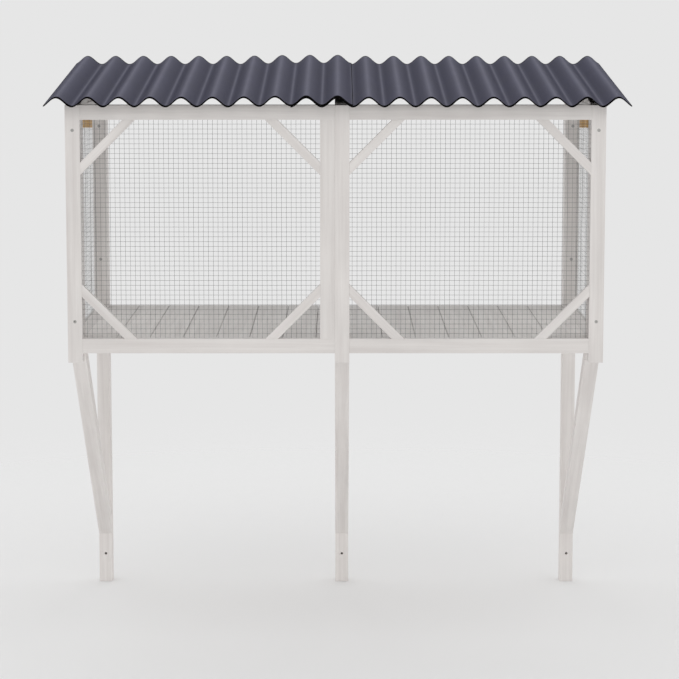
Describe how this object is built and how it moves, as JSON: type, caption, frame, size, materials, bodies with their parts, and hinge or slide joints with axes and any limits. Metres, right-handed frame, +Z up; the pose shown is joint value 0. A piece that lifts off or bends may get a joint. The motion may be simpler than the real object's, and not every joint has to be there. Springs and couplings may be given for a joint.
{
  "type": "window box catio",
  "caption": "Wall-mounted timber and wire-mesh enclosure for a cat to sit in outside a window, under a corrugated lean-to roof on raking struts.",
  "frame": {"origin": "on the wall plane, at the middle of the frame's width, level with the leg ends", "axes": "+X to the right seen from the front, +Y into the wall, +Z up"},
  "size_m": [1.5068, 0.8042, 1.5439],
  "materials": {
    "painted_timber": "planed softwood under a pale warm grey paint",
    "bare_timber": "bare softwood",
    "galvanised_wire": "dull galvanised wire",
    "bitumen_sheet": "slate grey corrugated sheet with a low sheen",
    "screw_steel": "zinc plated steel"
  },
  "bodies": {
    "root": {"left_front_post": "painted_timber", "centre_front_post": "painted_timber", "right_front_post": "painted_timber", "left_panel_stile": "painted_timber", "left_front_top_rail": "painted_timber", "right_front_top_rail": "painted_timber", "left_front_bottom_rail": "painted_timber", "right_front_bottom_rail": "painted_timber", "left_bay_upper_left_brace": "painted_timber", "left_bay_upper_right_brace": "painted_timber", "left_bay_lower_left_brace": "painted_timber", "left_bay_lower_right_brace": "painted_timber", "right_bay_upper_left_brace": "painted_timber", "right_bay_upper_right_brace": "painted_timber", "right_bay_lower_left_brace": "painted_timber", "right_bay_lower_right_brace": "painted_timber", "left_wall_post": "painted_timber", "right_wall_post": "painted_timber", "centre_leg": "painted_timber", "back_top_rail": "painted_timber", "left_side_front_stile": "painted_timber", "left_side_back_stile": "painted_timber", "left_side_top_rail": "painted_timber", "left_side_bottom_rail": "painted_timber", "right_side_front_stile": "painted_timber", "right_side_back_stile": "painted_timber", "right_side_top_rail": "painted_timber", "right_side_bottom_rail": "painted_timber", "left_rafter": "painted_timber", "centre_rafter": "painted_timber", "right_rafter": "painted_timber", "left_strut": "painted_timber", "centre_strut": "painted_timber", "right_strut": "painted_timber", "front_floor_bearer": "painted_timber", "back_floor_bearer": "painted_timber", "centre_floor_joist": "painted_timber", "floor_board_1": "painted_timber", "floor_board_2": "painted_timber", "floor_board_3": "painted_timber", "floor_board_4": "painted_timber", "floor_board_5": "painted_timber", "floor_board_6": "painted_timber", "floor_board_7": "painted_timber", "floor_board_8": "painted_timber", "floor_board_9": "painted_timber", "floor_board_10": "painted_timber", "floor_board_11": "painted_timber", "floor_board_12": "painted_timber", "floor_board_13": "painted_timber", "floor_board_14": "painted_timber", "floor_board_15": "painted_timber", "left_front_mesh": "galvanised_wire", "right_front_mesh": "galvanised_wire", "left_side_mesh": "galvanised_wire", "right_side_mesh": "galvanised_wire", "left_roof_sheet": "bitumen_sheet", "right_roof_sheet": "bitumen_sheet", "wall_fixing_blocks": "bare_timber", "frame_screws": "screw_steel"}
  },
  "joints": []
}
